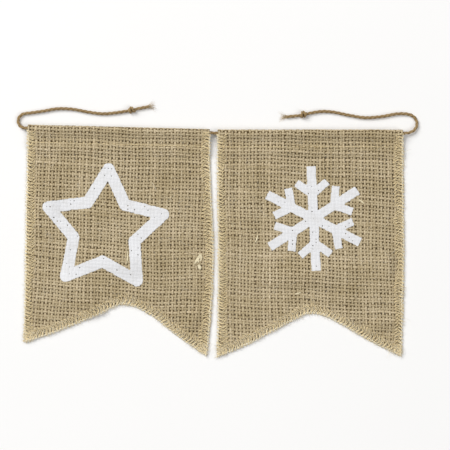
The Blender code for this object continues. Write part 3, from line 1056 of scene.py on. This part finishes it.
def snow_crystal(xy):
    """Distance to a six-armed snow crystal, each arm with one pair of barbs, in millimetres."""
    size = CRYSTAL
    x, y = turned(xy, size["middle"], size["tilt"])
    parts = []
    for turn in np.arange(6) * math.pi / 3:
        way = np.array((math.sin(turn), math.cos(turn)))
        parts.append(bar(x, y, (0, 0), way * size["arm"], size["line"]))
        root = way * size["root"]
        for lean in (-1, 1):
            barb = turn + lean * math.radians(size["spread"])
            end = root + size["barb"] * np.array((math.sin(barb), math.cos(barb)))
            parts.append(bar(x, y, root, end, size["barb_line"]))
    return np.min(parts, axis=0)


# Each flag's motif: the piece's name, its shape, and the weave places that it lies between.
MOTIFS = {"flag_left": ("painted_star", star, ((2, 8), (46, 50))),
          "flag_right": ("painted_snow_crystal", snow_crystal, ((10, 6), (46, 48)))}


def painted_film(name, weave, shape, corner, material):
    """A motif as a thin film of paint that lies on the yarns and spans most gaps.

    The grid runs with the weave. Points near the outline are moved onto it, a cell is kept where
    its corners are inside, and a corner is cut off where only three are. A pinhole is a gap in
    the weave whose grid point is left out and whose neighbours are drawn in towards it.
    """
    draw = np.random.default_rng(len(name))
    (u0, v0), (u1, v1) = corner
    u, v = np.meshgrid(np.arange(u0, u1, FILM_STEP), np.arange(v0, v1, FILM_STEP), indexing="ij")
    wild = soft_noise(draw, *u.shape, 3) + soft_noise(draw, *u.shape[::-1], 3).T
    distance = shape(weave.flag.plan_of(*weave.place(u, v))) * MM + RAGGED * wild
    slope = np.stack(np.gradient(distance, FILM_STEP))
    near = abs(distance) < SNAP
    move = np.where(near, distance * slope / np.maximum((slope ** 2).sum(0), 1e-12), 0)
    u, v = u - move[0], v - move[1]
    gap = (abs(u % 1 - 0.5) < 0.01) & (abs(v % 1 - 0.5) < 0.01)
    open_gap = gap & (draw.random(u.shape) < PINHOLES) & (distance < -PINHOLE_INSIDE)
    kept = ((distance < 0) | near) & ~open_gap
    drawn = FILM_STEP * draw.uniform(*DRAWN_IN, u.shape)
    for a in (-1, 0, 1):
        for b in (-1, 0, 1):
            ring, slide = (np.roll(table, (a, b), axis=(0, 1)) for table in (open_gap, drawn))
            if a * b:
                slide = slide * ROUNDED[0] + ROUNDED[1] * FILM_STEP
            u, v = u - np.where(ring, a * slide, 0), v - np.where(ring, b * slide, 0)
    beside = (-FILM_STEP / 2, 0, FILM_STEP / 2)
    lift = FILM_OVER + np.max([weave.top(u + a, v + b, FILM_BRIDGE)
                               for a in beside for b in beside], axis=0)
    points = weave.flag.raised(*weave.place(u, v), lift)
    number = np.arange(u.size).reshape(u.shape)
    cell = np.stack((number[:-1, :-1], number[:-1, 1:], number[1:, 1:], number[1:, :-1]), axis=-1)
    cell = cell.reshape(-1, 4)
    full = kept.ravel()[cell]
    quads = cell[full.all(1)]
    three = full.sum(1) == 3
    order = np.argmin(full[three], axis=1)
    corners = cell[three][np.arange(three.sum())[:, None], (order[:, None] + (1, 2, 3)) % 4]
    used, again = np.unique(np.concatenate((quads.ravel(), corners.ravel())), return_inverse=True)
    faces = (again[:quads.size].reshape(-1, 4).tolist()
             + again[quads.size:].reshape(-1, 3).tolist())
    mesh = bpy.data.meshes.new(name)
    mesh.from_pydata(points.reshape(-1, 3)[used].tolist(), [], faces)
    film = dressed(name, mesh, material, "white_paint")
    body = film.modifiers.new("thickness", "SOLIDIFY")
    body.thickness, body.offset = FILM_THICK, -1.0
    return film


# ---------------------------------------------------------------- stitches

STITCH = 2.5 * MM               # one stitch of the overlock
THREAD = 0.52 * MM
UNEVEN = 0.24 * MM              # how far, at random, a thread lies beside its place in a stitch
NEEDLE = 0.30 * MM
NEEDLE_INSET = 5.5 * MM
# Painted shade: the threads are painted darker towards the band's inner side, so the cut edge looks lighter.
INNER_SHADE = 0.30               # how much deeper in tone the threads are at the band's inner side
BACK_FROM = 20 * MM             # the thread underneath starts and ends this far from the ends
# one stitch: share of the stitch along the edge, distance in from the edge, stand-off. The thread
# goes out to the edge and comes back beside itself, both ways bent to a chevron at half way.
LOOPER = np.array(((0.00, 6.1, 0.60), (0.45, 4.7, 0.86), (0.88, 3.2, 0.92), (0.72, 1.8, 0.90),
                   (0.42, 0.35, 0.72), (0.36, -0.30, 0.10), (0.60, -0.25, 0.10), (0.70, 0.45, 0.70),
                   (1.02, 1.9, 0.88), (1.20, 3.2, 0.90), (1.06, 4.8, 0.84)))
UNDER = np.array(((0.00, 5.2, -0.62), (0.20, 4.0, -0.74), (0.38, 2.0, -0.74), (0.52, 0.2, -0.60),
                  (0.60, -0.30, -0.06), (0.70, 0.3, -0.60), (0.84, 2.4, -0.74), (0.94, 4.4, -0.72)))
# The thread that the loops are locked with makes a thin cord along the cut edge; its paler colour is a painted
# highlight there.
LOCKED = np.array(((0.00, 0.80, 0.96), (0.24, 0.30, 0.66),
                   (0.50, -0.02, 0.30), (0.74, 0.50, 0.86)))
HEM_SEAM = 10.6 * MM            # the hem's row of stitches, down from the loop's top
HEM_STITCH = 3.4 * MM


def looped_thread(flag, pattern, draw, thick, first, last, steps=1):
    """A thread carried along the cut edge, one pattern a stitch, as one long tube.

    The pattern's points are joined by an eased curve in steps, in distances along and in from
    the edge, and then laid on the cloth.
    """
    stitches = np.arange(first, flag.run[-1] - first, STITCH)
    wobble = soft_noise(draw, 4, len(stitches), 1)[..., None]
    share, inwards, lift = pattern.T
    run = (stitches[:, None] + STITCH * (share + 0.11 * wobble[0])).ravel()
    inset = inwards * (1 + 0.10 * wobble[1]) + 0.16 * wobble[2]
    inset = (inset + 0.5 * wobble[3] * (inwards / 6.0) ** 4).ravel() * MM
    lift = np.tile(lift, len(stitches)) * MM + 0.03 * MM * draw.standard_normal(len(run))
    run = run + UNEVEN * draw.standard_normal(len(run))
    inset = inset + UNEVEN * draw.standard_normal(len(run)) * (inset > 1 * MM)
    run, inset, lift = eased(np.stack((run, inset, lift), axis=1)[run < last], steps).T
    s, c = flag.from_edge(run, inset)
    path = flag.raised(s, c, lift)
    path[:, 2] = np.maximum(path[:, 2], thick / 2 + 0.02 * MM)
    # Painted shade, darker towards the band's inner side.
    return dict(path=path, up=flag.facing(s, c), wide=thick * 1.15, high=thick,
                shaded=INNER_SHADE * smooth_step((inset - 1.0 * MM) / (3.5 * MM)))


def needle_line(flag, draw):
    """The overlock's straight stitches on the front, near the inner side of its band."""
    stitches = np.arange(1.0 * MM, flag.run[-1] - 1.0 * MM, STITCH)
    run = (stitches[:, None] + STITCH * np.array((0.0, 0.12, 0.5, 0.85, 0.97))).ravel()
    lift = np.tile((0.10, 0.44, 0.54, 0.44, 0.10), len(stitches)) * MM
    s, c = flag.from_edge(run, NEEDLE_INSET + 0.14 * MM * soft_noise(draw, 1, len(run), 6)[0])
    # Painted shade, as dark as the band's inner side.
    return dict(path=flag.raised(s, c, lift), up=flag.facing(s, c), wide=NEEDLE, high=NEEDLE,
                shaded=np.full(len(run), INNER_SHADE))


def overlock(flag, golden, cream):
    """The oversewn edging: a looped thread on the front and one on the back with the needle's,
    and the thread that locks them along the cut edge."""
    draw = np.random.default_rng(SEEDS[flag.name] + 1)
    whole = flag.run[-1]
    threads = [looped_thread(flag, LOOPER, draw, THREAD, 0.4 * MM, whole, steps=2),
               looped_thread(flag, UNDER, draw, 0.8 * THREAD, BACK_FROM, whole - BACK_FROM),
               needle_line(flag, draw)]
    # The cord takes the paler cream finish, a painted highlight along the cut edge.
    cord = looped_thread(flag, LOCKED, draw, THREAD, 1.0 * MM, whole - 1.0 * MM)
    return [tube_piece(f"overlock_{flag.name}", threads, DIAMOND, golden, "overlock_thread"),
            tube_piece(f"edge_thread_{flag.name}", [cord], DIAMOND, cream, "overlock_thread")]


def hem_seam(flag, material):
    """The row of lockstitches that holds the hem, seen on the front and on the flap."""
    part = np.array((0.06, 0.16, 0.5, 0.84, 0.94))
    back = -math.pi * LOOP_MIDDLE - HEM_SEAM
    rows = []
    for lifts, down, shift in (((0.30, 0.66, 0.74, 0.66, 0.30), HEM_SEAM, 0.0),
                               ((0.10, 0.32, 0.38, 0.32, 0.10), back, 0.5)):
        for start in np.arange(2.2 * MM, flag.width - 4.5 * MM, HEM_STITCH):
            s = start + HEM_STITCH * (part + shift)
            c = np.full(len(s), down + 0.12 * MM * np.sin(start * 900.0))
            rows.append(dict(path=flag.raised(s, c, np.array(lifts) * MM), up=flag.facing(s, c),
                             wide=0.5 * MM, high=0.42 * MM))
    return tube_piece(f"hem_stitches_{flag.name}", rows, DIAMOND, material, "overlock_thread")


# ---------------------------------------------------------------- stray fibres

BURIED, STANDING, FRINGE = 2000, 360, 1150   # fibres of each kind on a flag
SLANTED = 3200                  # tried for the notch, which is cut across the grain and frays more
TRIED = 6000                    # places tried for those on the cloth
FRAYED = 7 * MM                 # how far up from the notch it is frayed
OFF_PAINT = 5.0                 # standing fibres keep this far from the paint, in millimetres
# Slivers of straw woven into the yarn, in millimetres: start, end, width.
STRAW = {
    "flag_left": (((-8.9, -8.6), (-14.1, -16.9), 1.8), ((-9.0, -8.9), (-9.3, -15.2), 1.2),
                  ((-10.9, -12.6), (-11.2, -16.2), 1.0), ((-11.4, -16.6), (-9.5, -20.8), 2.3),
                  ((-61.8, -6.4), (-62.4, -17.1), 0.9)),
    "flag_right": (((32.0, 5.0), (29.5, -2.0), 0.9), ((104.0, 30.0), (108.5, 26.5), 1.0),
                   ((58.0, -38.5), (63.0, -37.0), 0.9)),
}


def fibre_tubes(flag, s, c, lift, thick):
    """Fibres as tubes, one row of places, stand-offs and thicknesses a fibre."""
    base, up = flag.point(s, c), flag.facing(s, c)
    paths = base + up * lift[..., None]
    paths[..., 2] = np.maximum(paths[..., 2], 0.1 * MM)
    # base gives each fibre painted shade, darker near the middle of the cloth.
    return [dict(path=path, up=way, base=middle, wide=width, high=width)
            for path, way, middle, width in zip(paths, up, base, thick)]


def buried_fibres(flag, draw, s, c):
    """Short fibres that cross the gaps between the yarns, inside the cloth.

    Each is a shallow bow through its middle, (s, c), with its heights drawn at random.
    """
    one = (len(s), 1)
    turn, length = draw.uniform(0, 2 * math.pi, one), draw.uniform(2.0, 4.6, one) * MM
    part = np.linspace(-0.5, 0.5, 4) * length
    bend = draw.normal(0, 0.35, one) * part ** 2 / length
    ds = part * np.cos(turn) - bend * np.sin(turn)
    dc = part * np.sin(turn) + bend * np.cos(turn)
    lift = draw.uniform(-0.40, 0.34, ds.shape) * MM
    thick = draw.uniform(0.10, 0.19, one) * MM
    return fibre_tubes(flag, s[:, None] + ds, c[:, None] + dc, lift, thick)


def loose_fibres(flag, draw, places, turn, lengths, lifts):
    """Fibres that leave the cloth heading turn, curve over it, and come back or stand free.

    The heading changes evenly along a fibre, and its height is a part of a sine arch. Lengths and
    lifts are drawn between two values in millimetres.
    """
    s, c = places
    length, lift = (draw.uniform(*span, len(s))[:, None] * MM for span in (lengths, lifts))
    one = (len(s), 1)
    part = np.linspace(0, 1, 5)
    heading = turn[:, None] + draw.normal(0, 0.9, one) * part
    ds, dc = (np.cumsum(np.pad(way(heading[:, :-1]) * length / 4, ((0, 0), (1, 0))), axis=1)
              for way in (np.cos, np.sin))
    arch = np.sin(math.pi * np.clip(part * draw.uniform(0.55, 1.0, one), 0, 1))
    taper = np.array((0.7, 1.0, 1.0, 0.8, 0.3)) * draw.uniform(0.09, 0.18, one) * MM
    return fibre_tubes(flag, s[:, None] + ds, c[:, None] + dc, 0.45 * MM + lift * arch, taper)


def stray_fibres(flag, shape, material):
    """Fuzz: fibres inside the cloth, some that stand out of it, and a fringe on its cut edge."""
    draw = np.random.default_rng(SEEDS[flag.name] + 2)

    def any_way(places):
        return draw.uniform(0, 2 * math.pi, places.shape[1])

    spots = np.stack((draw.uniform(0, flag.width, TRIED), draw.uniform(2 * MM, 165 * MM, TRIED)))
    spots = spots[:, flag.room(*spots) > 1.5 * MM]
    fibres = buried_fibres(flag, draw, *spots[:, :BURIED])
    spots = spots[:, shape(flag.plan_of(*spots)) > OFF_PAINT][:, :STANDING]
    fibres += loose_fibres(flag, draw, spots, any_way(spots), (2.5, 9.0), (0.15, 0.9))
    ends = 2 * MM, flag.run[-1] - 2 * MM
    run = draw.uniform(*ends, FRINGE)
    spots = flag.from_edge(run, draw.uniform(-0.1, 2.6, FRINGE) ** 2 * MM)
    way = -read_at(flag.inwards, flag.run, run)
    outwards = np.arctan2(way[:, 1], way[:, 0]) + draw.normal(0, 0.75, FRINGE)
    fibres += loose_fibres(flag, draw, spots, outwards, (0.9, 3.2), (-0.3, 0.5))
    run = draw.uniform(*ends, SLANTED)
    spots = flag.from_edge(run, draw.uniform(0.3, 5.5, SLANTED) * MM)
    x, y = flag.plan_of(*spots).T
    spots = spots[:, y - flag.notch_height(x) < FRAYED]
    fibres += loose_fibres(flag, draw, spots, any_way(spots), (1.4, 3.6), (0.5, 0.95))
    return tube_piece(f"stray_fibres_{flag.name}", fibres, DIAMOND, material, "hessian")


def straw_slivers(flag, material):
    """Flat pale slivers that lie on the yarns, split into shreds that run to uneven points."""
    draw = np.random.default_rng(SEEDS[flag.name] + 3)
    taper = np.sin(math.pi * (0.05 + 0.90 * np.linspace(0, 1, 13))) ** 0.5
    slivers = []
    for start, end, wide in STRAW[flag.name]:
        way = unit(np.subtract(end, start))
        for shred in (-0.28, 0.0, 0.28):
            part = np.linspace(draw.uniform(0, 0.16), draw.uniform(0.84, 1.0), 13)
            line = np.array(start) * MM + np.outer(part, np.subtract(end, start)) * MM
            apart = shred * wide * MM * np.sin(math.pi * (0.10 + 0.75 * part))
            s, c = flag.place_of(line + np.outer(apart, (-way[1], way[0]))).T
            s = s + 0.35 * MM * np.sin(math.pi * part)
            lift = 0.72 + 0.09 * np.sin(11 * part + 5 * shred) + 0.12 * draw.uniform()
            slivers.append(dict(path=flag.raised(s, c, lift * MM), up=flag.facing(s, c),
                                wide=0.48 * wide * MM * taper, high=0.20 * MM * taper))
    return tube_piece(f"straw_{flag.name}", slivers, HEXAGON, material, "hessian")


# ---------------------------------------------------------------- the object

def cut_area(flag):
    """Flat area of the cut cloth, its turned flap included, counted on a fine grid."""
    step = 0.5 * MM
    s, c = np.meshgrid(np.arange(-6 * MM, flag.width + 6 * MM, step),
                       np.arange(FLAP_EDGE, 175 * MM, step), indexing="ij")
    return float((flag.room(s, c) > 0).sum() * step ** 2)


def hessian_flag(name, plan, fibres, paint):
    """One flag: warps, wefts, stitches, paint and loose fibres, declared as a sheet of cloth."""
    flag = Flag(name, plan)
    weave = Weave(flag)
    warps, wefts = (tube_piece(f"{kind}s_{name}", weave.yarns(kind), HEXAGON, fibres["hessian"],
                               "hessian") for kind in ("warp", "weft"))
    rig.replaces(warps, name)
    motif, shape, corner = MOTIFS[name]
    extras = [wefts, *overlock(flag, fibres["ochre_thread"], fibres["cream_thread"]),
              hem_seam(flag, fibres["ochre_thread"]),
              stray_fibres(flag, shape, fibres["loose_fibre"]),
              straw_slivers(flag, fibres["straw"]),
              painted_film(motif, weave, shape, corner, paint)]
    longest = max(flag.place_of(tip)[1] for tip in flag.tips)
    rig.sheet(warps, flat=(flag.width + 4 * MM, longest - FLAP_EDGE), held="folded",
             rests_on=["twine_in_the_hems"], area=cut_area(flag), with_pieces=extras)


def main():
    camera_over_the_flags()
    studio()
    fibres = {name: plant_fibre(name, *values) for name, values in FIBRES.items()}
    hanging_twine(fibres["jute"], fibres["jute_ends"])
    paint = white_paint()
    for name, plan in FLAGS.items():
        hessian_flag(name, plan, fibres, paint)
    with open("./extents.json", "w") as out:
        json.dump({"cad": [list(corner) for corner in cad_box],
                   "visual": [list(corner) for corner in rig.bounds()]}, out)


main()
